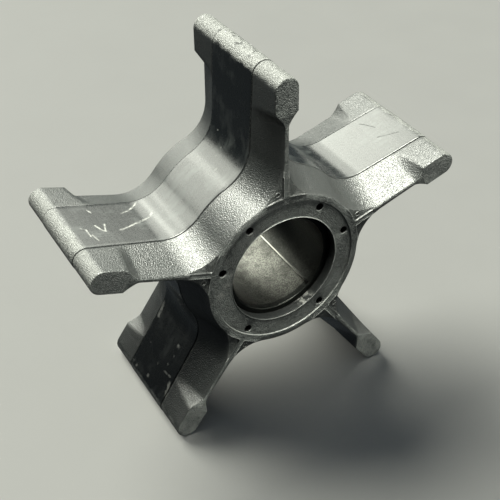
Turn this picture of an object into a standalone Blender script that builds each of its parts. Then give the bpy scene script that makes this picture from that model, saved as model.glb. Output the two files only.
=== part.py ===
"""Five-vane flexible impeller of a large outboard motor's water pump.

The impeller stands as it does on a bench, on the tips of its two lower vanes.
Metres, +Z up, +X to the right seen from the front, front face towards -Y.
The origin is midway between the two faces, on the bench under the axis.
"""

import bpy
import bmesh
from math import asin, cos, sin, pi, radians, sqrt

# Driving dimensions
VANES = 5
TIP_RADIUS = 0.0330
WIDTH = 0.0244
BORE_RADIUS = 0.00924

# Each vane: a thick bead at the tip, a smooth pad in the middle, thin edges at both faces
BEAD_HALF = 0.00198
BEAD_END_AT_PAD = 0.02640
BEAD_END_AT_FACE = 0.02748
WEB_OUTER_RADIUS = 0.02520
EDGE_HALF = 0.00037
EDGE_ROOT_HALF = 0.00044
PAD_ROOT_HALF = 0.00254
PAD_HALF_WIDTH = 0.00587

# The hub between two vanes: crowned under the pads, falling to a ring at both faces
PAD_HUB_RADIUS = 0.01535
RING_RADIUS = 0.01340
ROOT_FILLET = 0.00660

# What is sunk into both faces
RECESS_RADIUS = 0.01224
RECESS_DEPTH = 0.00030
POCKET_DEPTH = 0.00035
POCKET_RIM = 0.00030
POCKET_ANGLE = 17.0
PIN_HOLE_CIRCLE = 0.01134
PIN_HOLE_RADIUS = 0.00062
PIN_HOLE_DEPTH = 0.00400
PIN_HOLE_ANGLES = (32.5, 72.0, 144.0, 216.0, 288.0, 327.5)

# The metal sleeve bonded into the hub, behind a rubber lip at each face
SLEEVE_INNER_RADIUS = 0.00825
SLEEVE_OUTER_RADIUS = 0.00990
LIP_DEPTH = 0.00180
FIT_GAP = 0.00030

# Facets of the round stretches; a tip facet has to face the bench
TIP_FACET = 12.0
FILLET_FACETS = 8
HUB_FACETS = 6
ROUND_FACETS = 60
PIN_FACETS = 10

VANE_STEP = 360.0 / VANES
TIP_CENTRE_RADIUS = TIP_RADIUS - BEAD_HALF
AXIS_HEIGHT = (TIP_CENTRE_RADIUS * cos(radians(VANE_STEP / 2))
               + BEAD_HALF * cos(radians(TIP_FACET / 2)))
FRONT = -WIDTH / 2


def clear_scene():
    for thing in list(bpy.data.objects):
        bpy.data.objects.remove(thing)


def make_material(name, colour, roughness, metallic):
    material = bpy.data.materials.new(name)
    material.use_nodes = True
    shader = material.node_tree.nodes["Principled BSDF"]
    shader.inputs["Base Color"].default_value = (*colour, 1.0)
    shader.inputs["Roughness"].default_value = roughness
    shader.inputs["Metallic"].default_value = metallic
    return material


def add_object(name, build, material):
    """Make one object from a function that fills a bmesh, placed with its axis over the bench."""
    mesh = bpy.data.meshes.new(name)
    work = bmesh.new()
    build(work)
    bmesh.ops.recalc_face_normals(work, faces=work.faces)
    work.to_mesh(mesh)
    work.free()
    thing = bpy.data.objects.new(name, mesh)
    bpy.context.collection.objects.link(thing)
    thing.location = (0.0, 0.0, AXIS_HEIGHT)
    thing.data.materials.append(material)
    thing.data.shade_smooth()
    thing.data.set_sharp_from_angle(angle=radians(30))
    return thing


def add_cutter(target, name, build):
    """Cut a shape, made like the body around the same axis, out of the target."""
    cutter = add_object(name, build, target.data.materials[0])
    cutter.hide_render = True
    cutter.display_type = "WIRE"
    cut = target.modifiers.new(name, "BOOLEAN")
    cut.operation = "DIFFERENCE"
    cut.object = cutter


# The outline of the rubber body at one station between the pad's edge and a face

def mix(low, high, share):
    return low + (high - low) * share


def half_sector(share):
    """From one vane's tip to the middle of the hub, as (along the vane, beside it).

    share is 0 at the edge of the smooth pad and 1 at a face.
    """
    points = []
    steps = int((90.0 - TIP_FACET / 2) / TIP_FACET) + 1
    for step in range(steps):
        turn = radians(TIP_FACET * (step + 0.5))
        points.append((TIP_CENTRE_RADIUS + BEAD_HALF * cos(turn), BEAD_HALF * sin(turn)))

    web_half = mix(PAD_ROOT_HALF, EDGE_ROOT_HALF, share)
    hub = mix(PAD_HUB_RADIUS, RING_RADIUS, share)
    centre_beside = web_half + ROOT_FILLET
    centre_along = sqrt((hub + ROOT_FILLET) ** 2 - centre_beside ** 2)
    centre_turn = asin(centre_beside / (hub + ROOT_FILLET))

    bead_end = mix(BEAD_END_AT_PAD, BEAD_END_AT_FACE, share)
    web_share = (TIP_CENTRE_RADIUS - WEB_OUTER_RADIUS) / (TIP_CENTRE_RADIUS - centre_along)
    web_outer_half = mix(mix(BEAD_HALF, PAD_ROOT_HALF, web_share), EDGE_HALF, share)
    bead_share = (TIP_CENTRE_RADIUS - bead_end) / (TIP_CENTRE_RADIUS - centre_along)
    bead_half = mix(mix(BEAD_HALF, PAD_ROOT_HALF, bead_share), BEAD_HALF, share)
    points.append((bead_end, bead_half))
    points.append((WEB_OUTER_RADIUS, web_outer_half))

    sweep = pi / 2 - centre_turn
    for step in range(FILLET_FACETS + 1):
        turn = -pi / 2 - sweep * step / FILLET_FACETS
        points.append((centre_along + ROOT_FILLET * cos(turn),
                       centre_beside + ROOT_FILLET * sin(turn)))

    middle = radians(VANE_STEP / 2)
    for step in range(1, HUB_FACETS):
        turn = mix(centre_turn, middle, step / HUB_FACETS)
        points.append((hub * cos(turn), hub * sin(turn)))
    return points


def outline(share):
    """The closed outline of all vanes and hub, counter-clockwise seen from the front."""
    half = half_sector(share)
    hub = mix(PAD_HUB_RADIUS, RING_RADIUS, share)
    middle = radians(VANE_STEP / 2)
    points = []
    for vane in range(VANES):
        turn = radians(90.0 + VANE_STEP * vane)
        for along, beside in half:
            points.append(turned(along, beside, turn))
        points.append(turned(hub * cos(middle), hub * sin(middle), turn))
        turn = radians(90.0 + VANE_STEP * (vane + 1))
        for along, beside in reversed(half):
            points.append(turned(along, -beside, turn))
    return points


def turned(along, beside, turn):
    return (along * cos(turn) - beside * sin(turn), along * sin(turn) + beside * cos(turn))


def loft(work, sections):
    """Join closed sections of the same number of points, and close both ends."""
    rings = [[work.verts.new((x, y, z)) for x, z in points] for y, points in sections]
    for low, high in zip(rings, rings[1:]):
        count = len(low)
        for index in range(count):
            following = (index + 1) % count
            work.faces.new((low[index], high[index], high[following], low[following]))
    work.faces.new(rings[0])
    work.faces.new(reversed(rings[-1]))


def round_section(radius, facets=ROUND_FACETS, centre=(0.0, 0.0)):
    corners = []
    for step in range(facets):
        turn = 2 * pi * step / facets
        corners.append((centre[0] + radius * cos(turn), centre[1] + radius * sin(turn)))
    return corners


# The rubber moulding

def fill_rubber(work):
    face = outline(1.0)
    pad = outline(0.0)
    loft(work, [(FRONT, face), (-PAD_HALF_WIDTH, pad), (PAD_HALF_WIDTH, pad), (-FRONT, face)])


def fill_bore(work):
    """The bore: a lip at each face, and between them the wider seat of the sleeve."""
    past = WIDTH
    seat = LIP_DEPTH - FIT_GAP
    lip = round_section(BORE_RADIUS)
    wide = round_section(SLEEVE_OUTER_RADIUS + FIT_GAP)
    loft(work, [(FRONT - past, lip), (FRONT + seat, lip), (FRONT + seat, wide),
                (-FRONT - seat, wide), (-FRONT - seat, lip), (-FRONT + past, lip)])


def fill_recesses(work):
    """The shallow recess of each face, as two discs that the bore passes through."""
    for side in (-1, 1):
        floor = side * (WIDTH / 2 - RECESS_DEPTH)
        outside = side * WIDTH
        loft(work, [(min(floor, outside), round_section(RECESS_RADIUS)),
                    (max(floor, outside), round_section(RECESS_RADIUS))])


def pocket_outline(side):
    """The three-cornered pocket between a vane's thin edge and the ring, beside one vane."""
    rim_radius = RING_RADIUS + POCKET_RIM
    edge = EDGE_ROOT_HALF + POCKET_RIM
    tip_along = sqrt((RING_RADIUS + ROOT_FILLET) ** 2 - (edge + ROOT_FILLET) ** 2)
    corner = (sqrt(rim_radius ** 2 - edge ** 2), edge)
    points = [(tip_along, edge), corner]
    start = asin(edge / rim_radius)
    for step in range(1, 4):
        turn = mix(start, radians(POCKET_ANGLE), step / 3)
        points.append((rim_radius * cos(turn), rim_radius * sin(turn)))
    outer = radians(POCKET_ANGLE)
    points.append(((rim_radius + ROOT_FILLET) * cos(outer), (rim_radius + ROOT_FILLET) * sin(outer)))
    return [(along, beside * side) for along, beside in points]


def fill_pockets(work):
    for vane in range(VANES):
        turn = radians(90.0 + VANE_STEP * vane)
        for side in (-1, 1):
            points = [turned(along, beside, turn) for along, beside in pocket_outline(side)]
            for face in (-1, 1):
                floor = face * (WIDTH / 2 - POCKET_DEPTH)
                outside = face * WIDTH
                loft(work, [(min(floor, outside), points), (max(floor, outside), points)])


def fill_pin_holes(work):
    """The small holes left by the mould's pins in both faces of the hub."""
    for angle in PIN_HOLE_ANGLES:
        turn = radians(90.0 + angle)
        centre = (PIN_HOLE_CIRCLE * cos(turn), PIN_HOLE_CIRCLE * sin(turn))
        section = round_section(PIN_HOLE_RADIUS, PIN_FACETS, centre)
        for face in (-1, 1):
            floor = face * (WIDTH / 2 - PIN_HOLE_DEPTH)
            outside = face * WIDTH
            loft(work, [(min(floor, outside), section), (max(floor, outside), section)])


def make_rubber_body():
    rubber = make_material("nitrile_rubber", (0.030, 0.032, 0.034), 0.45, 0.0)
    body = add_object("rubber_impeller_body", fill_rubber, rubber)
    add_cutter(body, "cut_bore", fill_bore)
    add_cutter(body, "cut_recesses", fill_recesses)
    add_cutter(body, "cut_pockets", fill_pockets)
    add_cutter(body, "cut_pin_holes", fill_pin_holes)


# The metal sleeve

def fill_sleeve(work):
    end = WIDTH / 2 - LIP_DEPTH
    loft(work, [(-end, round_section(SLEEVE_OUTER_RADIUS)), (end, round_section(SLEEVE_OUTER_RADIUS))])


def fill_sleeve_bore(work):
    loft(work, [(-WIDTH, round_section(SLEEVE_INNER_RADIUS)), (WIDTH, round_section(SLEEVE_INNER_RADIUS))])


def make_hub_sleeve():
    metal = make_material("dull_metal", (0.20, 0.19, 0.17), 0.4, 1.0)
    sleeve = add_object("hub_sleeve", fill_sleeve, metal)
    add_cutter(sleeve, "cut_sleeve_bore", fill_sleeve_bore)


clear_scene()
make_rubber_body()
make_hub_sleeve()
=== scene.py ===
# %% [markdown]
# The looks of a five-vane rubber water pump impeller.
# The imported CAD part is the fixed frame: it gives the real size, and MuJoCo keeps its solids.
# Here the rubber and the metal sleeve are built again with the fine detail that a camera sees,
# each in the very place of its CAD solid, and then they get their worn finishes.

# %% Load the frame
from math import asin, atan2, ceil, cos, hypot, pi, radians, sin, sqrt

import bmesh
import bpy
import numpy as np
from mathutils import Matrix, Vector
from mathutils.geometry import delaunay_2d_cdt


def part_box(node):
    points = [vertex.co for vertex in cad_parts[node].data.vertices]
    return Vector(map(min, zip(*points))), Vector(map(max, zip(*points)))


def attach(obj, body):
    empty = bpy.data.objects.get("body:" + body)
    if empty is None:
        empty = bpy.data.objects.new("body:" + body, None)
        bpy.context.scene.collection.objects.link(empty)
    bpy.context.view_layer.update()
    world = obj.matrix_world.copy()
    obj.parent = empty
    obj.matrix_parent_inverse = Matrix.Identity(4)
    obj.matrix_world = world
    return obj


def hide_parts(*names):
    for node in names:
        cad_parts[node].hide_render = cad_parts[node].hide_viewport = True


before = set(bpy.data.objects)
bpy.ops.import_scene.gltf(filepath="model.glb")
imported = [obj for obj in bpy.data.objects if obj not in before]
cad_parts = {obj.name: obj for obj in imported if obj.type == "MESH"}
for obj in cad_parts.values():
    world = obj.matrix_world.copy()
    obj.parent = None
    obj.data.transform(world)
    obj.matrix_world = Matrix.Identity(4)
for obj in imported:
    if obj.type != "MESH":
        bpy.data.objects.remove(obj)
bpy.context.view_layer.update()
rubber_low, rubber_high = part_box("rubber_impeller_body")
sleeve_low, sleeve_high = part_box("hub_sleeve")

# %% [markdown]
# A moulding is symmetric about its axis, so everything is drawn around that axis.
# The sleeve is concentric with the bore, so the middle of its box is the axis.
# Reading it from the frame keeps the new meshes exactly where the CAD solids are.

# %% Find the axis and the faces
AXIS = (sleeve_low + sleeve_high) / 2
HALF_WIDTH = (rubber_high.y - rubber_low.y) / 2
TIP_RADIUS = rubber_high.z - AXIS.z
print("axis height mm", round(1000 * AXIS.z, 3), "tip radius mm", round(1000 * TIP_RADIUS, 3))

# %% [markdown]
# The sizes below are those of the moulding, in metres, as a mould maker would list them.
# "Along" runs out from the axis in the middle of a vane, and "beside" runs across the vane.
# A vane has a round bead at its tip, a thick smooth pad in the middle of its width, and side
# bands that thin to a sharp edge at both faces. FACE_SHY holds the faces a hair inside the box
# of the solid, so that raised rims on them never make the part wider than it is.

# %% Sizes of the moulding
VANES = 5
VANE_STEP = 2 * pi / VANES
TIP_CENTRE = 0.03102
BEAD_HALF = TIP_RADIUS - TIP_CENTRE
BEAD_END_AT_PAD = 0.02640
BEAD_END_AT_FACE = 0.02748
WEB_OUTER = 0.02520
EDGE_HALF = 0.00037
EDGE_ROOT_HALF = 0.00044
PAD_ROOT_HALF = 0.00254
PAD_HALF_WIDTH = 0.00587
PAD_HUB_RADIUS = 0.01535
RING_RADIUS = 0.01340
ROOT_FILLET = 0.00660
RECESS_RADIUS = 0.01224
RECESS_DEPTH = 0.00025
POCKET_DEPTH = 0.00022
BORE_RADIUS = 0.00924
LIP_DEPTH = 0.00180
PIN_HOLE_CIRCLE = 0.01134
PIN_HOLE_RADIUS = 0.00062
PIN_HOLE_DEPTH = 0.00400
PIN_HOLE_ANGLES = (32.5, 72.0, 144.0, 216.0, 288.0, 327.5)
FACE_SHY = 0.00006

# %% [markdown]
# The camera comes first, because it decides how fine a detail has to be.
# Its place and lens were solved from the photograph by matching known points of the impeller,
# so it is written as a position and three axes, and it needs no shift.

# %% Camera at the photograph's viewing angle
CAMERA_PLACE = Vector((-0.064015, -0.114682, 0.123083))
CAMERA_BACK = Vector((-0.39045, -0.69307, 0.60599))
CAMERA_UP = Vector((0.31060, 0.52039, 0.79544))
LENS = 71.96

camera = bpy.data.objects.new("camera", bpy.data.cameras.new("camera"))
camera.data.lens = LENS
camera.data.sensor_width = 36.0
camera.data.clip_start = 0.005
right = CAMERA_UP.cross(CAMERA_BACK).normalized()
up = CAMERA_BACK.cross(right).normalized()
turned_axes = Matrix((right, up, CAMERA_BACK.normalized())).transposed()
camera.matrix_world = Matrix.Translation(CAMERA_PLACE) @ turned_axes.to_4x4()
bpy.context.scene.collection.objects.link(camera)
bpy.context.scene.camera = camera

# %% [markdown]
# The outline of the impeller is drawn once at the pad's edge and once at a face, with the same
# number of points, and every station between them is a straight blend of the two.
# Lofting the stations by hand gives clean rows of quads, which a boolean or a remesh would not.

# %% Half of one sector, from a vane's tip to the middle of the valley
TIP_STEPS, BEAD_STEPS, RAMP_STEPS, WEB_STEPS, FILLET_STEPS, HUB_STEPS = 12, 6, 10, 12, 26, 8
RAMP_HOLLOW = 1.4
BULGE = 0.000006


def mix(low, high, share):
    return low + (high - low) * share


def half_sector(share):
    """Points (along, beside) at the pad's edge for share 0, and at a face for share 1."""
    web_half = mix(PAD_ROOT_HALF, EDGE_ROOT_HALF, share)
    hub = mix(PAD_HUB_RADIUS, RING_RADIUS, share)
    centre_beside = web_half + ROOT_FILLET
    centre_along = sqrt((hub + ROOT_FILLET) ** 2 - centre_beside ** 2)
    centre_turn = asin(centre_beside / (hub + ROOT_FILLET))
    length = TIP_CENTRE - centre_along
    bead_end = mix(BEAD_END_AT_PAD, BEAD_END_AT_FACE, share)
    taper_at_web = mix(BEAD_HALF, PAD_ROOT_HALF, (TIP_CENTRE - WEB_OUTER) / length)
    taper_at_bead = mix(BEAD_HALF, PAD_ROOT_HALF, (TIP_CENTRE - bead_end) / length)
    web_outer_half = mix(taper_at_web, EDGE_HALF, share)
    bead_end_half = mix(taper_at_bead, BEAD_HALF, share)

    points = []
    for step in range(TIP_STEPS + 1):
        turn = pi / 2 * step / TIP_STEPS
        points.append((TIP_CENTRE + BEAD_HALF * cos(turn), BEAD_HALF * sin(turn)))
    for step in range(1, BEAD_STEPS + 1):
        done = step / BEAD_STEPS
        points.append((mix(TIP_CENTRE, bead_end, done),
                       mix(BEAD_HALF, bead_end_half, done) + BULGE * 4 * done * (1 - done)))
    for step in range(1, RAMP_STEPS + 1):
        done = step / RAMP_STEPS
        height = mix(1 - done, (1 - done) ** RAMP_HOLLOW, share)
        points.append((mix(bead_end, WEB_OUTER, done), mix(web_outer_half, bead_end_half, height)))
    for step in range(1, WEB_STEPS + 1):
        done = step / WEB_STEPS
        points.append((mix(WEB_OUTER, centre_along, done),
                       mix(web_outer_half, web_half, done) - BULGE * 4 * done * (1 - done)))
    for step in range(1, FILLET_STEPS + 1):
        turn = -pi / 2 - (pi / 2 - centre_turn) * step / FILLET_STEPS
        points.append((centre_along + ROOT_FILLET * cos(turn),
                       centre_beside + ROOT_FILLET * sin(turn)))
    for step in range(1, HUB_STEPS + 1):
        turn = mix(centre_turn, VANE_STEP / 2, step / HUB_STEPS)
        points.append((hub * cos(turn), hub * sin(turn)))
    return points


def turned(along, beside, turn):
    return along * cos(turn) - beside * sin(turn), along * sin(turn) + beside * cos(turn)


def vane_turn(vane):
    """Vane 0 points up, and the count runs counter-clockwise seen from the front."""
    return pi / 2 + VANE_STEP * vane


def outline(share):
    """The closed outline around the axis, counter-clockwise seen from the front."""
    half = half_sector(share)
    points = []
    for vane in range(VANES):
        points += [turned(along, beside, vane_turn(vane)) for along, beside in half]
        points += [turned(along, -beside, vane_turn(vane + 1)) for along, beside in half[-2:0:-1]]
    return np.array(points)


def inward(points):
    """A unit vector into the body at each point of a closed outline."""
    step = np.roll(points, -1, axis=0) - np.roll(points, 1, axis=0)
    step /= np.linalg.norm(step, axis=1)[:, None]
    return np.column_stack((-step[:, 1], step[:, 0]))


pad_outline, face_outline = outline(0.0), outline(1.0)
pad_inward, face_inward = inward(pad_outline), inward(face_outline)
print("points in an outline", len(pad_outline))

# %% [markdown]
# A mesh whose pieces only touch would show cracks, so equal points have to be one vertex.
# This small class remembers every point it has been given, which lets the rows of the sides,
# the triangles of the faces and the walls of the holes join up by themselves.

# %% A skin that joins what is added to it


class Skin:
    def __init__(self):
        self.work = bmesh.new()
        self.known = {}

    def vertex(self, point):
        key = tuple(round(float(value) * 1e7) for value in point)
        if key not in self.known:
            self.known[key] = self.work.verts.new(point)
        return self.known[key]

    def face(self, points):
        corners = list(dict.fromkeys(self.vertex(point) for point in points))
        if len(corners) > 2 and self.work.faces.get(corners) is None:
            self.work.faces.new(corners)

    def rows(self, rows):
        """Quads between closed rows of the same number of points."""
        for low, high in zip(rows, rows[1:]):
            for index in range(len(low)):
                after = (index + 1) % len(low)
                self.face((low[index], high[index], high[after], low[after]))

    def piece(self, name):
        bmesh.ops.recalc_face_normals(self.work, faces=self.work.faces)
        mesh = bpy.data.meshes.new(name)
        self.work.to_mesh(mesh)
        self.work.free()
        mesh.shade_smooth()
        mesh.set_sharp_from_angle(angle=radians(50))
        thing = bpy.data.objects.new(name, mesh)
        bpy.context.scene.collection.objects.link(thing)
        normals = thing.modifiers.new("flat_faces_stay_flat", "WEIGHTED_NORMAL")
        normals.keep_sharp = True
        normals.weight = 90
        print(name, len(mesh.vertices), "vertices", len(mesh.polygons), "faces")
        return thing


def circle(radius, depth, count, centre=(0.0, 0.0)):
    """Points (x, z, depth below the face) around the axis or around a centre of their own."""
    turns = [2 * pi * step / count for step in range(count)]
    return [(centre[0] + radius * cos(t), centre[1] + radius * sin(t), depth) for t in turns]


# %% [markdown]
# The three-cornered pockets lie between a vane's thin edge and the ring, open to the valley.
# Their floor is lower than the face, so the side surface has to stop lower there too.
# One profile says how deep the surface lies at any distance into the pocket, and a fade makes
# the walls run out softly at both open ends. The side rows and the face use both, so they meet.
# Nothing rubs the edge deep in a pocket, so it is rounded less there: roundness says how much.

# %% Depth of the pockets along the outline
POCKET_EDGE = 0.00044
POCKET_RING = 0.01344
POCKET_PROFILE = ((-0.00010, 0.0), (-0.00005, -0.00004), (-0.00001, -0.00004), (0.00001, 0.00003),
                  (0.00004, 0.00019), (0.00009, POCKET_DEPTH))
POCKET_CORNER = 0.00030
FADE_TURN = (radians(11.5), radians(16.5))
FADE_ALONG = (0.0164, 0.0179)
SNUG_INSET = 0.00010
SHARPER = 0.72
SHARPEST_DEPTH = 0.00012


def pocket_fade(along, beside):
    """1 in the corner of a pocket, falling to 0 where its walls end."""
    low, high = FADE_TURN
    by_ring = np.clip((high - np.arctan2(np.abs(beside), along)) / (high - low), 0, 1)
    low, high = FADE_ALONG
    by_vane = np.clip((high - along) / (high - low), 0, 1)
    fade = by_ring * by_vane
    return fade * fade * (3 - 2 * fade)


def pocket_drop(points):
    """How deep an outline lies below the face, where it passes through the pockets."""
    turn = np.arctan2(points[:, 1], points[:, 0]) - pi / 2
    turn -= VANE_STEP * np.round(turn / VANE_STEP)
    radius = np.hypot(points[:, 0], points[:, 1])
    along, beside = radius * np.cos(turn), radius * np.abs(np.sin(turn))
    into = np.minimum(beside - POCKET_EDGE, radius - POCKET_RING)
    places, depths = zip(*POCKET_PROFILE[3:])
    drop = np.interp(into, places, (0.0, *depths[1:])) * pocket_fade(along, beside)
    return np.where(radius > WEB_OUTER, 0.0, drop)


face_drop = pocket_drop(face_outline + face_inward * SNUG_INSET)
roundness = 1 - SHARPER * np.clip(face_drop / SHARPEST_DEPTH, 0, 1)
print("outline points that lie in pockets", int((face_drop > 0).sum()))

# %% [markdown]
# The sides run from one face to the other. In the middle is the smooth pad, bounded by the
# mould's parting line: a hair-fine groove with the side bands a touch lower than the pad.
# At the faces the edge is worn round, which is what catches the light on real rubber.

# %% Rows of the side surface
PAD_ROWS, BAND_ROWS = 10, 15
GROOVE_HALF = 0.00008
GROOVE_DEPTH = 0.00016
GROOVE_FLOOR = (0.4, 1.6)
BAND_SHY = 0.00006
BAND_STEP = 0.00004
BAND_EASE = 0.00008
PAD_ROUND = ((0.00012, 0.0), (0.00004, 0.00001), (0.0, 0.00005))
EDGE_ROUND = ((0.00020, 0.0), (0.00011, 0.00002), (0.00005, 0.00006), (0.0, 0.00014))


def side_row(side, height, share, inset):
    """One closed row: height is the distance from the mid-plane, one number or one a point."""
    share, inset = np.reshape(share, (-1, 1)), np.reshape(inset, (-1, 1))
    points = mix(pad_outline, face_outline, share) + mix(pad_inward, face_inward, share) * inset
    heights = np.broadcast_to(side * np.asarray(height, float), len(points))
    return np.column_stack((points[:, 0], heights, points[:, 1]))


def side_rows(side):
    """The rows from the mid-plane out to one face."""
    rows = []
    pad_end = PAD_HALF_WIDTH - GROOVE_HALF
    for step in range(PAD_ROWS + 1):
        rows.append(side_row(side, (pad_end - PAD_ROUND[0][0]) * step / PAD_ROWS, 0.0, 0.0))
    for before, inset in PAD_ROUND[1:]:
        rows.append(side_row(side, pad_end - before, 0.0, inset))
    for place in GROOVE_FLOOR:
        rows.append(side_row(side, pad_end + GROOVE_HALF * place, 0.0, GROOVE_DEPTH))
    band_start = PAD_HALF_WIDTH + GROOVE_HALF
    rows.append(side_row(side, band_start, 0.0, BAND_SHY + BAND_STEP))
    top = HALF_WIDTH - FACE_SHY - face_drop
    last = top - EDGE_ROUND[0][0]
    first = band_start + BAND_EASE
    for step in range(BAND_ROWS + 1):
        height = mix(first, last, step / BAND_ROWS)
        share = (height - PAD_HALF_WIDTH) / (HALF_WIDTH - PAD_HALF_WIDTH)
        rows.append(side_row(side, height, share, BAND_SHY))
    for below, inset in EDGE_ROUND[1:]:
        height = top - below * roundness
        share = (height - PAD_HALF_WIDTH) / (HALF_WIDTH - PAD_HALF_WIDTH)
        rows.append(side_row(side, height, share, BAND_SHY + inset * roundness))
    return rows


# %% [markdown]
# A face is flat but full of small features: the recess, the pin holes, the pockets and the
# ejector marks. Cutting them with booleans makes ragged triangles, so each feature is given
# as loops of points with their depth, and a Delaunay triangulation fills the flat between.
# Round the bore stands a thin ridge of flash, where the mould's core pin met its plate.

# %% Loops of one face
RING_COUNT = 120
PIN_COUNT = 20
RECESS_PROFILE = ((0.00007, 0.0), (0.00003, 0.00001), (0.0, 0.00005), (-0.00002, 0.00022),
                  (-0.00006, RECESS_DEPTH))
BORE_MOUTH = RECESS_DEPTH + 0.00004
FLASH_RIDGE = 0.00010
BORE_PROFILE = ((0.00026, RECESS_DEPTH), (0.00020, RECESS_DEPTH - 0.00001),
                (0.00015, RECESS_DEPTH - 0.00009), (FLASH_RIDGE, RECESS_DEPTH - 0.00012),
                (0.00004, RECESS_DEPTH - 0.00009), (0.0, BORE_MOUTH))
PIN_MOUTH = RECESS_DEPTH + 0.00009
PIN_PROFILE = ((0.00007, RECESS_DEPTH), (0.00002, RECESS_DEPTH + 0.00003), (0.0, PIN_MOUTH))
MARK_PLACE = (0.01432, 0.00136)
MARK_PROFILE = ((0.00044, POCKET_DEPTH), (0.00041, 0.00014), (0.00035, 0.00014),
                (0.00031, POCKET_DEPTH + 0.00004))
POCKET_REACH = 0.0068
POCKET_SPAN = (0.0125, 0.0188)
LINE_STEP = 0.0004
OUTER_GAP = 0.00025
CORNER_ARC = (radians(250), radians(225), radians(200))


def pocket_line(vane, side, outer, offset, depth):
    """An open line around one pocket, from one point of the outer loop to another."""
    beside = POCKET_EDGE + offset
    radius = POCKET_RING + offset
    turn = vane_turn(vane)
    local = [(x * cos(turn) + z * sin(turn), side * (z * cos(turn) - x * sin(turn))) for x, z, _ in outer]
    open_arc = [index for index, (along, across) in enumerate(local)
                if 0 < across < POCKET_REACH and POCKET_SPAN[0] < along < POCKET_SPAN[1]
                and across > beside and hypot(along, across) > radius]
    open_arc.sort(key=lambda index: -local[index][0])
    first, last = open_arc[0], open_arc[-1]
    corner_radius = POCKET_CORNER + offset
    points = []
    corner_along = sqrt(radius ** 2 - beside ** 2)
    straight_end = corner_along + corner_radius
    start = local[first][0] - OUTER_GAP
    count = max(2, ceil((start - straight_end) / LINE_STEP))
    for step in range(count + 1):
        points.append((mix(start, straight_end, step / count), beside))
    corner_turn = asin(beside / radius)
    arc_start = corner_turn + corner_radius / radius
    arc_end = atan2(local[last][1], local[last][0]) - OUTER_GAP / radius
    for angle in CORNER_ARC:
        points.append((straight_end + corner_radius * cos(angle),
                       beside + corner_radius + corner_radius * sin(angle)))
    count = max(2, ceil((arc_end - arc_start) * radius / LINE_STEP))
    for step in range(count + 1):
        angle = mix(arc_start, arc_end, step / count)
        points.append((radius * cos(angle), radius * sin(angle)))
    placed = [(*turned(along, side * across, turn), depth * float(pocket_fade(along, across)))
              for along, across in points]
    return [outer[first], *placed, outer[last]]


def face_loops(outer):
    """Closed loops, open lines and the rims of holes of a face, as points (x, z, depth)."""
    closed = [outer]
    closed += [circle(RECESS_RADIUS + out, depth, RING_COUNT) for out, depth in RECESS_PROFILE]
    closed += [circle(BORE_RADIUS + out, depth, RING_COUNT) for out, depth in BORE_PROFILE]
    rims = [closed[-1]]
    for angle in PIN_HOLE_ANGLES:
        centre = turned(PIN_HOLE_CIRCLE, 0.0, pi / 2 + radians(angle))
        closed += [circle(PIN_HOLE_RADIUS + out, depth, PIN_COUNT, centre) for out, depth in PIN_PROFILE]
        rims.append(closed[-1])
    for vane in range(VANES):
        centre = turned(*MARK_PLACE, vane_turn(vane))
        closed += [circle(radius, depth, PIN_COUNT, centre) for radius, depth in MARK_PROFILE]
    lines = []
    for vane in range(VANES):
        for side in (-1, 1):
            lines += [pocket_line(vane, side, outer, into, depth) for into, depth in POCKET_PROFILE]
    return closed, lines, rims


def is_within(places, loop):
    """Whether each place lies within a closed loop, by counting the edges to its right."""
    x, z = places.T
    inside = np.zeros(len(places), bool)
    corners = [corner[:2] for corner in loop]
    for (from_x, from_z), (to_x, to_z) in zip(corners, corners[1:] + corners[:1]):
        if from_z != to_z:
            crosses = (from_z > z) != (to_z > z)
            inside ^= crosses & (from_x + (z - from_z) / (to_z - from_z) * (to_x - from_x) > x)
    return inside


def face_triangles(outer):
    """Triangles of one face, with the bore and the pin holes left open."""
    closed, lines, rims = face_loops(outer)
    points, edges, seen = [], [], {}
    for loop in closed + lines:
        numbers = []
        for x, z, depth in loop:
            key = (round(x * 1e7), round(z * 1e7))
            if key not in seen:
                seen[key] = len(points)
                points.append((x, z, depth))
            numbers.append(seen[key])
        edges += list(zip(numbers, numbers[1:]))
        if loop in closed:
            edges.append((numbers[-1], numbers[0]))
    in_mm = [Vector((x * 1000, z * 1000)) for x, z, _ in points]
    found, _, triangles, origins, _, _ = delaunay_2d_cdt(in_mm, edges, [], 1, 1e-6, True)
    print("face points", len(points), "crossings added", len(found) - len(points))
    corners = [points[origin[0]] for origin in origins]
    middles = np.array([np.mean([corners[n][:2] for n in triangle], axis=0) for triangle in triangles])
    solid = is_within(middles, outer)
    for rim in rims:
        solid &= ~is_within(middles, rim)
    return [[corners[n] for n in triangle] for triangle, kept in zip(triangles, solid) if kept]


# %% [markdown]
# The rubber is put together from its side rows, its two faces, the bore with the lips that
# hold the sleeve, and the blind pin holes. Working in depth below a face lets one function
# make both faces, and the row of each wall starts on the points that the face ends with.

# %% Build the rubber moulding
SEAT_RADIUS = 0.0102


def placed(loop, side):
    """Points (x, z, depth) of a face as real places in the row frame."""
    top = HALF_WIDTH - FACE_SHY
    return [(x, side * (top - depth), z) for x, z, depth in loop]


def at_axis(points):
    return [(x + AXIS.x, y + AXIS.y, z + AXIS.z) for x, y, z in points]


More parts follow.
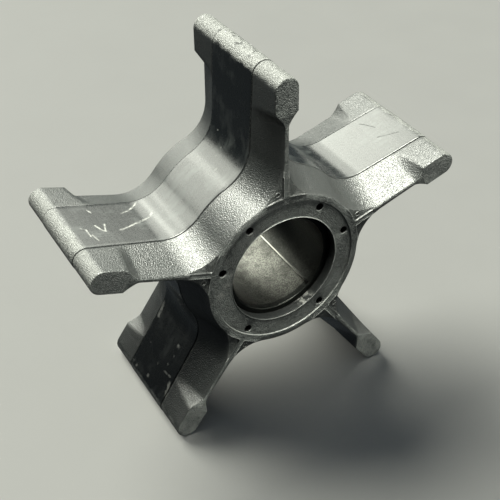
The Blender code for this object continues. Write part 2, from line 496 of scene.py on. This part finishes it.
def build_rubber():
    skin = Skin()
    front, back = side_rows(-1), side_rows(1)
    skin.rows([at_axis(row) for row in front[::-1] + back[1:]])
    for side, rows in ((-1, front), (1, back)):
        outer = [(x, z, float(drop)) for (x, _, z), drop in zip(rows[-1], face_drop)]
        for triangle in face_triangles(outer):
            skin.face(at_axis(placed(triangle, side)))
        lip = [circle(BORE_RADIUS, BORE_MOUTH, RING_COUNT), circle(BORE_RADIUS, LIP_DEPTH, RING_COUNT),
               circle(SEAT_RADIUS, LIP_DEPTH, RING_COUNT)]
        skin.rows([at_axis(placed(loop, side)) for loop in lip])
        for angle in PIN_HOLE_ANGLES:
            centre = turned(PIN_HOLE_CIRCLE, 0.0, pi / 2 + radians(angle))
            wall = [circle(PIN_HOLE_RADIUS, PIN_MOUTH, PIN_COUNT, centre),
                    circle(PIN_HOLE_RADIUS, PIN_HOLE_DEPTH, PIN_COUNT, centre)]
            skin.rows([at_axis(placed(loop, side)) for loop in wall])
            skin.face(at_axis(placed(wall[-1], side)))
    seat = [at_axis(placed(circle(SEAT_RADIUS, LIP_DEPTH, RING_COUNT), side)) for side in (-1, 1)]
    skin.rows(seat)
    return skin.piece("worn_rubber_impeller")


rubber = build_rubber()
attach(rubber, "root")
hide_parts("rubber_impeller_body")

# %% [markdown]
# The sleeve is a tube rolled from strip, so one fine seam runs along its bore.
# It could be a cylinder with the seam as bump, but a bump shows nothing where the bore is seen
# edge-on. So it is made from rings of points whose radius grows in the seam, with a small
# raised lip on both sides of it and more points close to it.

# %% Build the metal sleeve
SLEEVE_INNER = 0.00825
SLEEVE_OUTER = 0.00990
SEAM_TURN = pi / 2 + radians(221.5)
SEAM_PROFILE = ((-0.00030, 0.0), (-0.00016, -0.00003), (-0.00008, -0.00003), (-0.00003, 0.00010),
                (0.00003, 0.00010), (0.00008, -0.00003), (0.00016, -0.00003), (0.00030, 0.0))
SEAM_REACH = 0.0003
CHAMFER = 0.0002
MOUTH_ROUND = ((0.00025, 0.0), (0.00008, 0.00007), (0.0, 0.00025))
INSIDE_SHARES = (0.8, 0.6, 0.4, 0.2, 0.0)


def sleeve_turns():
    """(turn, extra radius) around the bore, with the seam's own points."""
    around = [(SEAM_TURN + place / SLEEVE_INNER, out) for place, out in SEAM_PROFILE]
    step = 2 * pi / RING_COUNT
    around += [(SEAM_TURN + step * number, 0.0) for number in range(1, RING_COUNT)]
    return around


def sleeve_profile():
    """(radius, y) once around the tube's wall, from the middle of its outside."""
    end = HALF_WIDTH - LIP_DEPTH
    half = [(SLEEVE_OUTER, 0.0), (SLEEVE_OUTER, end - CHAMFER), (SLEEVE_OUTER - CHAMFER, end)]
    half += [(SLEEVE_INNER + out, end - below) for out, below in MOUTH_ROUND]
    half += [(SLEEVE_INNER, end * share) for share in INSIDE_SHARES]
    return [(radius, -y) for radius, y in half] + half[-2:0:-1]


def build_sleeve():
    skin = Skin()
    loops = []
    for radius, y in sleeve_profile():
        has_seam = radius < SLEEVE_INNER + SEAM_REACH
        around = [(turn, radius + out if has_seam else radius) for turn, out in sleeve_turns()]
        loops.append([(reach * cos(turn), y, reach * sin(turn)) for turn, reach in around])
    skin.rows([at_axis(loop) for loop in loops + loops[:1]])
    return skin.piece("seamed_metal_sleeve")


sleeve = build_sleeve()
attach(sleeve, "root")
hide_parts("hub_sleeve")

# %% [markdown]
# Shader maths soon turns into a tangle of nodes. Here a socket is wrapped so that Python's
# own operators add the Math nodes, and a finish can be written like a formula.

# %% Sockets that can be used in sums
COVER_SHINE = 0.12


class Value:
    def __init__(self, maker, socket):
        self.maker, self.socket = maker, socket

    def maths(self, operation, *others):
        return self.maker.node("Math", {"operation": operation}, dict(enumerate((self, *others))))

    def __add__(self, other):
        return self.maths("ADD", other)

    def __sub__(self, other):
        return self.maths("SUBTRACT", other)

    def __rsub__(self, other):
        return self.maker.node("Math", {"operation": "SUBTRACT"}, {0: other, 1: self})

    def __mul__(self, other):
        return self.maths("MULTIPLY", other)

    def __truediv__(self, other):
        return self.maths("DIVIDE", other)

    def __pow__(self, other):
        return self.maths("POWER", other)

    __radd__ = __add__
    __rmul__ = __mul__

    def between(self, low, high):
        """0 below low, 1 above high, and a soft step between them."""
        return self.maker.node("MapRange", {"interpolation_type": "SMOOTHSTEP"},
                               {"Value": self, "From Min": low, "From Max": high})


class Finish:
    """A material in the making."""

    def __init__(self, name):
        self.material = bpy.data.materials.new(name)
        self.material.use_nodes = True
        self.tree = self.material.node_tree
        self.shader = self.tree.nodes["Principled BSDF"]

    def connect(self, socket, value):
        if isinstance(value, Value):
            self.tree.links.new(value.socket, socket)
        else:
            socket.default_value = value

    def node(self, kind, settings=None, sockets=None, output=0):
        """Add any node: its settings first, then its sockets by name or number."""
        made = self.tree.nodes.new("ShaderNode" + kind)
        for name, value in (settings or {}).items():
            setattr(made, name, value)
        for name, value in (sockets or {}).items():
            self.connect(made.inputs[name], value)
        return Value(self, made.outputs[output])

    def set(self, **sockets):
        """Plug values into the shader's sockets, with _ for a space in a name."""
        for name, value in sockets.items():
            self.connect(self.shader.inputs[name.replace("_", " ")], value)

    def cover(self, share, colour, roughness):
        """Cover a share of the surface with a second, dull skin that mirrors nothing."""
        dull = self.node("BsdfPrincipled", {}, {"Base Color": (*colour, 1.0), "Roughness": roughness,
                                                "Specular IOR Level": COVER_SHINE})
        both = self.node("MixShader", {}, {0: share, 1: Value(self, self.shader.outputs[0]), 2: dull})
        self.connect(self.tree.nodes["Material Output"].inputs["Surface"], both)

    def blend(self, share, first, second):
        """A colour or vector between two, by share. The Mix node's colour sockets are 6, 7 and 2."""
        plain = [(*c, 1.0) if isinstance(c, tuple) else c for c in (first, second)]
        return self.node("Mix", {"data_type": "RGBA"}, {0: share, 6: plain[0], 7: plain[1]}, 2)

    def noise(self, where, scale, detail=2.0, roughness=0.5, stretch=(1, 1, 1)):
        """Fractal noise from 0 to 1, with scale in grains per metre."""
        if stretch != (1, 1, 1):
            where = self.node("VectorMath", {"operation": "MULTIPLY"}, {0: where, 1: stretch})
        return self.node("TexNoise", {}, {"Vector": where, "Scale": scale, "Detail": detail,
                                          "Roughness": roughness})

    def bump(self, height, distance, strength=1.0, under=None):
        sockets = {"Height": height, "Distance": distance, "Strength": strength}
        if under is not None:
            sockets["Normal"] = under
        return self.node("Bump", {}, sockets)


# %% [markdown]
# Every mark on the rubber has a place: how far along a vane, how far beside it, and how far
# from the mid-plane. The shader works these out from the object's own coordinates, so no UV
# map is needed, and the marks sit on the right vane from any side.

# %% Coordinates of a finish


class Places:
    """The coordinates of the impeller, as values of one finish."""

    def __init__(self, finish):
        self.finish = finish
        self.where = finish.node("TexCoord", output="Object")
        split = finish.node("SeparateXYZ", {}, {0: self.where})
        parts = split.socket.node.outputs
        self.x = Value(finish, parts["X"]) - AXIS.x
        self.y = Value(finish, parts["Y"]) - AXIS.y
        self.z = Value(finish, parts["Z"]) - AXIS.z
        self.radius = (self.x * self.x + self.z * self.z) ** 0.5
        self.turn = self.z.maths("ARCTAN2", self.x) - pi / 2
        local = self.turn.maths("WRAP", VANE_STEP / 2, -VANE_STEP / 2)
        self.along = self.radius * local.maths("COSINE")
        self.beside = self.radius * local.maths("SINE")
        self.height = self.y.maths("ABSOLUTE")
        self.flat = finish.node("CombineXYZ", {}, {0: self.x, 2: self.z})
        normal = finish.node("NewGeometry", output="Normal")
        face = finish.node("SeparateXYZ", {}, {0: normal})
        self.facing = Value(finish, face.socket.node.outputs["Y"]).maths("ABSOLUTE")
        self.upward = Value(finish, face.socket.node.outputs["Z"])

    def gap(self, x, z):
        """Distance from a line along the axis through (x, z)."""
        return self.finish.node("VectorMath", {"operation": "DISTANCE"},
                                {0: self.flat, 1: (x, 0, z)}, "Value")

    def on_vane(self, vane):
        """(along, beside) for one vane alone."""
        turn = vane_turn(vane)
        along = self.x * cos(turn) + self.z * sin(turn)
        beside = self.z * cos(turn) - self.x * sin(turn)
        return along, beside


# %% [markdown]
# Scratches and smears are drawn in chalk on the pads. In a shader a scratch is the
# distance from a line: each stretch between two points gives a distance, the least one wins,
# and a little noise makes the edge break up as a real scuff does.

# %% A scratch as the distance from a line


def stroke(u, v, points, half_width, wobble):
    """1 on a line through the points (u, v), 0 away from it."""
    nearest = None
    for (from_u, from_v), (to_u, to_v) in zip(points, points[1:]):
        run_u, run_v = to_u - from_u, to_v - from_v
        span = run_u ** 2 + run_v ** 2
        share = ((u - from_u) * run_u + (v - from_v) * run_v) / span
        share = share.maths("MAXIMUM", 0.0).maths("MINIMUM", 1.0)
        gap_u, gap_v = u - (share * run_u + from_u), v - (share * run_v + from_v)
        gap = (gap_u * gap_u + gap_v * gap_v) ** 0.5
        nearest = gap if nearest is None else nearest.maths("MINIMUM", gap)
    return 1 - (nearest + wobble * half_width).between(half_width * 0.4, half_width)


def spot(u, v, place, radius, wobble):
    """1 within a small round blot, 0 away from it."""
    gap_u, gap_v = u - place[0], v - place[1]
    gap = (gap_u * gap_u + gap_v * gap_v) ** 0.5
    return 1 - (gap + wobble * radius).between(radius * 0.3, radius)


# %% [markdown]
# The rubber is black and satin. The pads were pressed against a polished insert, the side
# bands against a rougher one that left a fine sparkling grain, and the faces are the dullest.
# Each zone has a dark and a pale tone, and noise of the right grain size moves between them.

# %% Tones of the rubber
BLACK = (0.0009, 0.0013, 0.0015)
CLOUD = (0.013, 0.0143, 0.0141)
BAND_DARK, BAND_PALE = (0.0030, 0.0035, 0.0036), (0.0140, 0.0150, 0.0146)
RING_DARK, RING_PALE = (0.007, 0.008, 0.008), (0.060, 0.064, 0.062)
END_DARK, END_PALE = (0.018, 0.020, 0.020), (0.105, 0.110, 0.106)
CHALK = (0.10, 0.10, 0.095)
# the pale of the edges: partly rubbed rubber, partly painted highlight
EDGE_WEAR_AND_HIGHLIGHT = (0.20, 0.205, 0.20)
WORN = (0.046, 0.047, 0.045)
# the dull dark skin of pores, and of the painted shade in the groove and the bore's lips
PORE_AND_SHADE = (0.002, 0.0024, 0.0026)
print("palest tone of a face", END_PALE, "and of a rubbed edge", EDGE_WEAR_AND_HIGHLIGHT)

# %% [markdown]
# Each scuff is one of a kind, so no noise could put it in its place. They are given one by one:
# vane, which side of it, and (along the vane, across its width) in metres, and for the marks
# on the front ring (right of the axis, above it). A line has half its width, a blot its radius.

# %% Marks read off the worn rubber
SCRATCHES = (
    (1, -1, ((0.0239, -0.0019), (0.0225, -0.0013), (0.0211, -0.0006), (0.0193, 0.0002),
             (0.0181, 0.0008), (0.0175, 0.0015)), 0.00022),
    (1, -1, ((0.0275, -0.0002), (0.0271, -0.0014), (0.0266, -0.0020), (0.0259, 0.0)), 0.00020),
    (1, -1, ((0.0300, -0.0007), (0.0293, -0.0012), (0.0293, -0.0033)), 0.00016),
    (1, -1, ((0.0289, -0.0027), (0.0286, -0.0043)), 0.00018),
    (1, -1, ((0.0219, 0.0027), (0.0206, 0.0032), (0.0190, 0.0045), (0.0184, 0.0052)), 0.00020),
    (1, -1, ((0.0269, 0.0043), (0.0266, 0.0034)), 0.00014),
    (2, -1, ((0.0271, -0.0027), (0.0270, -0.0035), (0.0268, -0.0047)), 0.00018),
    (2, -1, ((0.0278, -0.0052), (0.0296, -0.0058)), 0.00045),
    (2, -1, ((0.0187, 0.0056), (0.0213, 0.0052)), 0.00050),
)
BLOTS = (
    (1, -1, (0.0240, -0.0020), 0.00045),
    (1, -1, (0.0265, -0.0019), 0.00034),
    (2, -1, (0.0258, 0.0037), 0.00022),
    (2, -1, (0.0307, 0.0055), 0.00045),
    (2, -1, (0.0310, 0.0042), 0.00034),
    (2, -1, (0.0238, -0.0031), 0.00030),
    (2, -1, (0.0257, -0.0027), 0.00026),
    (2, -1, (0.0272, -0.0004), 0.00024),
    (2, -1, (0.0303, 0.0003), 0.00046),
    (2, -1, (0.0220, -0.0029), 0.00060),
    (0, 1, (0.0163, 0.0010), 0.00016),
    (0, 1, (0.0152, 0.0010), 0.00014),
    (0, 1, (0.0143, -0.0011), 0.00018),
    (0, 1, (0.0180, 0.0034), 0.00014),
)
DARK_MARKS = (
    (4, 1, ((0.0266, 0.0043), (0.0272, 0.0033), (0.0279, 0.0016)), 0.00014),
    (4, 1, ((0.0267, -0.0008), (0.0281, -0.0015), (0.0299, -0.0023)), 0.00012),
)


def marks(places, wobble, strokes, blots=()):
    """All the listed marks as one mask."""
    on_vane = {}
    for vane, side in {(mark[0], mark[1]) for mark in (*strokes, *blots)}:
        along, beside = places.on_vane(vane)
        on_vane[vane, side] = along, (beside * side).between(0.0, 0.0005)
    total = 0.0
    for vane, side, points, half_width in strokes:
        along, there = on_vane[vane, side]
        total = stroke(along, places.y, points, half_width, wobble) * there + total
    for vane, side, place, radius in blots:
        along, there = on_vane[vane, side]
        total = spot(along, places.y, place, radius, wobble) * there + total
    return total.maths("MINIMUM", 1.0)


RING_STROKES = (
    ((-0.00153, 0.01114), (-0.00074, 0.01134), 0.00011),
    ((-0.00113, 0.01100), (-0.00106, 0.01000), 0.00009),
    ((-0.00850, -0.00760), (-0.00800, -0.00700), 0.00008),
)
RING_BLOTS = (((-0.0102, 0.0010), 0.0008), ((-0.0112, -0.0006), 0.0009), ((-0.0094, 0.0027), 0.0004),
              ((-0.0092, 0.0049), 0.0002), ((-0.0105, 0.0069), 0.0002), ((-0.0072, 0.0071), 0.0002))


def ring_marks(places, ragged):
    """The scuffs on the front ring as one mask."""
    total = 0.0
    for *line, half_width in RING_STROKES:
        total = stroke(places.x, places.z, line, half_width, (ragged - 0.5) * 1.5) + total
    for place, radius in RING_BLOTS:
        total = spot(places.x, places.z, place, radius, (ragged - 0.5) * 2.0) * 0.7 + total
    return total


print("scuffs on the pads", len(SCRATCHES) + len(BLOTS) + len(DARK_MARKS),
      "and on the ring", len(RING_STROKES) + len(RING_BLOTS))

# %% [markdown]
# A finish could be painted on an unwrapped copy of the mesh, but then it would blur up close
# and need an image. Masks worked out from the place of a point stay sharp at any distance:
# a zone is 1 on its own part of the moulding and 0 elsewhere, with a hair-wide step between.

# %% Zones of the moulding
HAIR = 0.00003
POCKET_BLEND = 0.0005
POCKET_SLOPE = 0.29
POCKET_END = 0.0186


def hairline(distance, half_width):
    """1 where a distance is 0, falling to 0 within half a width either side."""
    return 1 - distance.maths("ABSOLUTE").between(half_width * 0.35, half_width)


class Zones:
    """Masks for the pads, side bands, faces, pockets and the bore's lips."""

    def __init__(self, places):
        self.pad = (PAD_HALF_WIDTH - places.height).between(-HAIR, HAIR)
        self.face = places.facing.between(0.75, 0.9)
        self.band = (1 - self.pad) * (1 - self.face)
        self.front = (0 - places.y).between(0.0, 0.001)
        beside = places.beside.maths("ABSOLUTE")
        from_ring = places.radius - POCKET_RING
        self.into_pocket = (beside - POCKET_EDGE).maths("SMOOTH_MIN", from_ring, POCKET_BLEND)
        near = (places.along * POCKET_SLOPE - beside).between(0.0, 0.0005)
        self.near_pocket = near * (POCKET_END - places.along).between(0.0, 0.0010)
        self.in_pocket = self.into_pocket.between(0.00005, 0.00012) * self.near_pocket
        self.in_bore = (BORE_RADIUS + HAIR - places.radius).between(0.0, 0.00002)


# %% [markdown]
# Real rubber is never even. Eight noises give it its life, from clouds some millimetres wide
# down to a grain that is only just seen. They are made once and shared by colour, roughness
# and bump, so that the tones of a grain lie where its relief is, as on the real surface.

# %% Grains of the rubber


class Grains:
    """The noises of the rubber, all from 0 to 1."""

    def __init__(self, finish, places):
        where = places.where
        self.cloud = finish.noise(where, 230, 5, 0.62)
        self.streak = finish.noise(where, 1000, 3, 0.6, (1, 0.10, 1))
        self.fine = finish.noise(where, 1700, 3, 0.65)
        self.ragged = finish.noise(where, 1300, 4, 0.75, (1, 0.6, 1))
        self.grain = finish.noise(where, 5800, 1, 0.5)
        grit = finish.noise(where, 5200, 2, 0.6)
        drawn_out = {0: places.along * 0.10, 1: places.y, 2: places.turn * 0.002}
        self.smear = finish.noise(finish.node("CombineXYZ", {}, drawn_out), 1500, 4, 0.65)
        self.dust = finish.noise(where, 3300, 1, 0.5).between(0.73, 0.80)
        self.mottle = (grit * 0.6 + self.fine * 0.4).between(0.41, 0.60)
        self.blotch = self.cloud.between(0.35, 0.65)


# %% [markdown]
# Use leaves its own marks. The tips rub the pump's housing and turn chalky, with dark pits
# where rubber has torn out. Handling scuffs the pads, and old water leaves a haze on them.
# The edges of the faces carry thin pale lines, partly rubbed pale and partly painted
# highlight, brighter on the sides of each rim where light would catch it.

# %% Wear of the rubber, and painted highlights on its edges
TIP_WEAR = (0.0303, 0.0326)
PITTED_TIP = (0.0324, 0.0329)
SMUDGE_TURN, SMUDGE_WIDTH = radians(-152), 0.20
MARK_RING = 0.00038


class Wear:
    """What use has done to the rubber, as masks."""

    def __init__(self, places, grains, zones):
        ragged, cloud, fine = grains.ragged, grains.cloud, grains.fine
        tip = places.along.between(*TIP_WEAR)
        self.tips = (tip * 1.1 + (ragged - 0.5) * 1.2 + (cloud - 0.5) * 0.8).between(0.45, 0.95)
        self.tips = self.tips * (1 - zones.face)
        self.scratched = marks(places, (ragged - 0.5) * 2.2, SCRATCHES, BLOTS) * fine.between(0.30, 0.62)
        self.darkened = marks(places, (ragged - 0.5) * 1.2, DARK_MARKS)
        self.pitted = (ragged * 0.6 + cloud * 0.4).between(0.53, 0.60) * places.along.between(*PITTED_TIP)
        self.hazy = cloud.between(0.44, 0.68) * (0.15 + grains.smear.between(0.38, 0.62) * 0.85)
        near_smudge = hairline(places.turn - SMUDGE_TURN, SMUDGE_WIDTH)
        self.smudge = near_smudge * zones.in_bore * fine.between(0.4, 0.6)


def edge_wear_and_highlights(places, zones, ragged):
    """The thin bright lines on the edges of the faces: partly rubbed pale, partly painted highlight."""
    rounding = places.facing.between(0.20, 0.50) * (1 - places.facing.between(0.86, 0.98))
    rim = hairline(zones.into_pocket + 0.00002, 0.00007) * zones.near_pocket
    lines = rim * places.facing.between(0.3, 0.7) + rounding * 0.06
    # painted highlight: the lines are dimmed where the surface faces up
    lines = lines * (1 - places.upward.between(0.05, 0.5) * 0.75)
    # painted highlight on the flash ridge round the bore, dimmer on the left and brighter towards the top
    lip = hairline(places.radius - BORE_RADIUS - FLASH_RIDGE, 0.00011)
    lip = lip * (1 - (0 - places.x).between(0.002, 0.007) * 0.85)
    lines = lines + lip * (0.25 + places.z.between(-0.006, 0.004) * 0.75)
    # painted highlight on the edge of the recess, along its lower part only
    recess = hairline(places.radius - RECESS_RADIUS - 0.00001, 0.00005)
    lines = lines + recess * (0 - places.z).between(0.002, 0.010) * 0.5
    for angle in PIN_HOLE_ANGLES:
        x, z = turned(PIN_HOLE_CIRCLE, 0.0, pi / 2 + radians(angle))
        # painted highlight on the lower rim of each pin hole
        rim = hairline(places.gap(x, z) - PIN_HOLE_RADIUS - 0.00006, 0.00007)
        lines = rim * (z - places.z).between(0.0002, 0.0006) * 0.7 + lines
    for vane in range(VANES):
        x, z = turned(*MARK_PLACE, vane_turn(vane))
        # a pale ring round each ejector mark, partly painted highlight
        lines = hairline(places.gap(x, z) - MARK_RING, 0.00008) * 0.45 + lines
    near_face = places.height.between(HALF_WIDTH - 0.0008, HALF_WIDTH - 0.0005)
    return lines.maths("MINIMUM", 1.0) * near_face * ragged.between(0.30, 0.50)


# %% [markdown]
# The colour is laid on as a painter would: the black of the pads, the tones of the bands and
# faces, dust, worn tips, scuffs, and last the bright edges, partly worn and partly painted
# highlight. What should mirror nothing, such as a pore, and the painted shade in the parting
# groove and on the lips' walls in the bore, can't be had from colour, because black rubber is
# seen by what it mirrors. There a second, dull skin covers the first.

# %% Finish of the rubber
RING_TO_END = (0.021, 0.026)
SHADED_END = (0.020, 0.024)
PARTING_LINE = 0.00013


def face_colour(finish, places, grains, zones):
    """The mottled greys of the ring and the bead ends, with painted shade on the pocket floors and the
    left vane's end, and the scuffs of the front ring.
    """
    along_left_vane, _ = places.on_vane(1)
    shaded = along_left_vane.between(*SHADED_END) * 0.5
    patches = grains.mottle * 0.6 + grains.blotch * 0.4
    # painted shade darkens the pocket floors; the ring is also painted paler towards its top
    on_ring = (patches + places.z.between(0.004, 0.014) * 0.2) * (1 - zones.in_pocket * 0.6)
    on_ring = finish.blend(on_ring, RING_DARK, RING_PALE)
    on_end = finish.blend(patches * (1 - shaded), END_DARK, END_PALE)
    on_face = finish.blend(places.along.between(*RING_TO_END), on_ring, on_end)
    scuffed = ring_marks(places, grains.ragged) * (zones.face * zones.front) * 0.7
    return finish.blend(scuffed, on_face, CHALK)


def rubber_colour(finish, places, grains, zones, wear):
    colour = finish.blend(wear.hazy * 0.9, BLACK, CLOUD)
    on_band = finish.blend(grains.grain.between(0.36, 0.64), BAND_DARK, BAND_PALE)
    colour = finish.blend(zones.band, colour, on_band)
    colour = finish.blend(zones.face, colour, face_colour(finish, places, grains, zones))
    colour = finish.blend(grains.dust * (zones.face * 0.4 + 0.12), colour, CHALK)
    colour = finish.blend(wear.tips * 0.8, colour, WORN)
    colour = finish.blend(wear.scratched * 0.75, colour, CHALK)
    colour = finish.blend(edge_wear_and_highlights(places, zones, grains.ragged), colour, EDGE_WEAR_AND_HIGHLIGHT)
    return finish.blend(wear.smudge * zones.front, colour, CHALK)


def dull_share(places, grains, zones, wear):
    """Where nothing is mirrored: pores, pits, stains, and painted shade in the parting groove and on the
    lips' walls.
    """
    # painted shade: the parting groove is covered by the dull dark skin
    painted_groove_shade = hairline(places.height - PAD_HALF_WIDTH, PARTING_LINE)
    dull = grains.grain.between(0.50, 0.62) * (zones.band * 0.28 + wear.tips * 0.05)
    # painted shade on the lips' walls in the bore, broken by streaks and the pale smudge
    painted_lip_wall_shade = zones.in_bore * (1 - grains.streak * 0.5 - wear.smudge) * 0.85
    for other in (painted_groove_shade, wear.pitted * 0.75, wear.darkened * 0.6, painted_lip_wall_shade):
        dull = dull.maths("MAXIMUM", other)
    return dull


def rubber_finish():
    finish = Finish("worn_black_rubber")
    places = Places(finish)
    grains, zones = Grains(finish, places), Zones(places)
    wear = Wear(places, grains, zones)
    roughness = (0.27 + zones.band * 0.07 + zones.face * 0.20 + (grains.fine - 0.5) * 0.10
                 + wear.tips * 0.10 + wear.scratched * 0.2 + wear.hazy * 0.06)
    normal = finish.bump(grains.streak, 0.00004, 0.3)
    pebbles = (1 - grains.grain) * zones.band * (1 - wear.tips * 0.6)
    normal = finish.bump(pebbles, 0.00010, 1.0, normal)
    normal = finish.bump(grains.mottle * (zones.face + wear.tips), 0.00008, 1.0, normal)
    colour = rubber_colour(finish, places, grains, zones, wear)
    finish.set(Base_Color=colour, Roughness=roughness, Normal=normal, IOR=1.45)
    finish.cover(dull_share(places, grains, zones, wear), PORE_AND_SHADE, 0.8)
    print("nodes in the finish of the rubber", len(finish.tree.nodes))
    return finish.material


rubber.data.materials.append(rubber_finish())

# %% [markdown]
# The sleeve is dull metal gone dark with use: speckled and warm grey. Painted shade makes it
# darker at its ends and nearly black on one side of its seam, which carries a painted
# highlight. A metal's colour is that of its reflections, so the painted shade is a darker
# metal and not a coat over it.

# %% Finish of the sleeve
METAL_DARK, METAL_PALE = (0.020, 0.020, 0.018), (0.100, 0.100, 0.090)
TARNISH = (0.018, 0.018, 0.016)
# the colour of the painted shade on the sleeve
SLEEVE_SHADE_TONE = (0.003, 0.004, 0.004)
# the colour of the painted highlight on the seam
SEAM_HIGHLIGHT_TONE = (0.40, 0.40, 0.37)
SEAM_PLACE = SEAM_TURN - 2 * pi - pi / 2
SEAM_LINE = 0.00014
SHADOW_START = SEAM_PLACE + radians(1.5)


def sleeve_finish():
    finish = Finish("dull_speckled_metal")
    places = Places(finish)
    speckle = finish.noise(places.where, 5200, 4, 0.75)
    patch = finish.noise(places.where, 420, 4, 0.65)
    colour = finish.blend(speckle.between(0.38, 0.62), METAL_DARK, METAL_PALE)
    colour = finish.blend(patch.between(0.45, 0.65) * 0.6, colour, TARNISH)
    # painted shade: the wall just past the seam is painted nearly black
    painted_shade = places.turn.between(SHADOW_START - radians(2), SHADOW_START) * 0.55
    painted_shade = painted_shade + places.turn.between(SHADOW_START, SHADOW_START + radians(37)) * 0.42
    mouth = HALF_WIDTH - LIP_DEPTH
    # painted shade: the metal is painted darker near both ends, inside the rubber lips
    end = places.height.between(mouth - 0.0013, mouth - 0.0009)
    painted_shade = painted_shade.maths("MAXIMUM", end * 0.8)
    colour = finish.blend(painted_shade, colour, SLEEVE_SHADE_TONE)
    # painted highlight: a bright line along the seam, fading towards the front
    painted_seam_highlight = hairline((places.turn - SEAM_PLACE) * SLEEVE_INNER, SEAM_LINE)
    painted_seam_highlight = painted_seam_highlight * (1 - end) * places.y.between(-0.011, 0.001)
    colour = finish.blend(painted_seam_highlight, colour, SEAM_HIGHLIGHT_TONE)
    roughness = 0.22 + speckle * 0.16 + patch * 0.10
    normal = finish.bump(speckle, 0.00005, 0.5)
    finish.set(Base_Color=colour, Roughness=roughness, Normal=normal, Metallic=0.95)
    print("nodes in the finish of the sleeve", len(finish.tree.nodes))
    return finish.material


sleeve.data.materials.append(sleeve_finish())

# %% [markdown]
# The stage is a plain pale floor under soft studio light. Black rubber looks silver only where
# it mirrors something bright, so wide soft panels stand behind the impeller and over it. They
# would burn out a pale floor, so light linking gives the floor its own sun, as wide and from
# the same side: the shadows fall alike, and the rubber keeps its strong glare. The floor also
# stays out of reflections and bounced light, or it would fill the dark undersides with grey.

# %% Floor
FLOOR_SIZE = 12.0
FLOOR_DARK, FLOOR_PALE = (0.610, 0.60, 0.592), (0.650, 0.64, 0.631)


def floor_finish():
    finish = Finish("pale_floor")
    where = finish.node("TexCoord", output="Object")
    cloud = finish.noise(where, 60, 3, 0.5)
    colour = finish.blend(cloud, FLOOR_DARK, FLOOR_PALE)
    finish.set(Base_Color=colour, Roughness=0.7 + cloud * 0.1)
    return finish.material


floor_mesh = bpy.data.meshes.new("floor")
reach = FLOOR_SIZE / 2
corners = [(-reach, -reach, 0), (reach, -reach, 0), (reach, reach, 0), (-reach, reach, 0)]
floor_mesh.from_pydata(corners, [], [(0, 1, 2, 3)])
floor = bpy.data.objects.new("floor", floor_mesh)
bpy.context.scene.collection.objects.link(floor)
floor.data.materials.append(floor_finish())
floor.visible_glossy = False
floor.visible_diffuse = False

# %% [markdown]
# Each light is a panel at a place on a sphere around the hub, given by its direction alone.
# The strongest hangs over the impeller and draws the broad glare on the vanes. Four behind it
# draw the streaks in the valleys, and two weak ones fill the right side and the front.

# %% Lights
LAMP_DISTANCE = 0.60
DAYLIGHT = (0.975, 1.0, 0.885)
PANEL = (0.31, 0.30)
SUN_WIDTH = radians(45)


def lamp_on(name, kind, direction, power, lit):
    """A lamp that shines at the hub from a direction, and lights only some things."""
    lamp = bpy.data.objects.new(name, bpy.data.lights.new(name, kind))
    lamp.data.energy = power
    lamp.data.color = DAYLIGHT
    lamp.visible_camera = False
    towards = Vector(direction).normalized()
    lamp.location = AXIS + towards * LAMP_DISTANCE
    lamp.rotation_euler = towards.to_track_quat("Z", "Y").to_euler()
    bpy.context.scene.collection.objects.link(lamp)
    receivers = bpy.data.collections.new("lit_by_" + name)
    for thing in lit:
        receivers.objects.link(thing)
    lamp.light_linking.receiver_collection = receivers
    return lamp


def soft_light(name, direction, size, power, lit):
    lamp = lamp_on(name, "AREA", direction, power, lit)
    lamp.data.shape = "RECTANGLE"
    lamp.data.size, lamp.data.size_y = size


impeller = (rubber, sleeve)
soft_light("behind_right", (0.36, 0.69, 0.63), PANEL, 2.5, impeller)
soft_light("behind_middle", (0.00, 0.69, 0.72), PANEL, 3.1, impeller)
soft_light("behind_left", (-0.45, 0.71, 0.52), (0.40, 0.30), 3.7, impeller)
soft_light("behind_low", (0.00, 0.97, 0.25), PANEL, 1.8, impeller)
soft_light("overhead", (0.00, 0.00, 1.00), (0.36, 0.36), 44, impeller)
soft_light("right_fill", (0.95, 0.00, 0.30), PANEL, 1.4, impeller)
soft_light("front_fill", (0.55, -0.80, 0.25), PANEL, 2.0, impeller)
floor_sun = lamp_on("floor_sun", "SUN", (-0.22, 0.69, 0.62), 3.6, (floor,))
floor_sun.data.angle = SUN_WIDTH

# %% [markdown]
# A world that is pale to the camera and dim to everything else gives the low views a pale
# backdrop without washing out the black rubber.

# %% World
world = bpy.data.worlds.new("studio")
world.use_nodes = True
sky = world.node_tree
dim = sky.nodes["Background"]
dim.inputs["Color"].default_value = (0.86, 1.0, 1.06, 1.0)
dim.inputs["Strength"].default_value = 0.09
backdrop = sky.nodes.new("ShaderNodeBackground")
backdrop.inputs["Color"].default_value = (0.52, 0.52, 0.51, 1.0)
ray = sky.nodes.new("ShaderNodeLightPath")
either = sky.nodes.new("ShaderNodeMixShader")
sky.links.new(ray.outputs["Is Camera Ray"], either.inputs[0])
sky.links.new(dim.outputs[0], either.inputs[1])
sky.links.new(backdrop.outputs[0], either.inputs[2])
sky.links.new(either.outputs[0], sky.nodes["World Output"].inputs["Surface"])
bpy.context.scene.world = world
bpy.context.scene.view_settings.view_transform = "Standard"
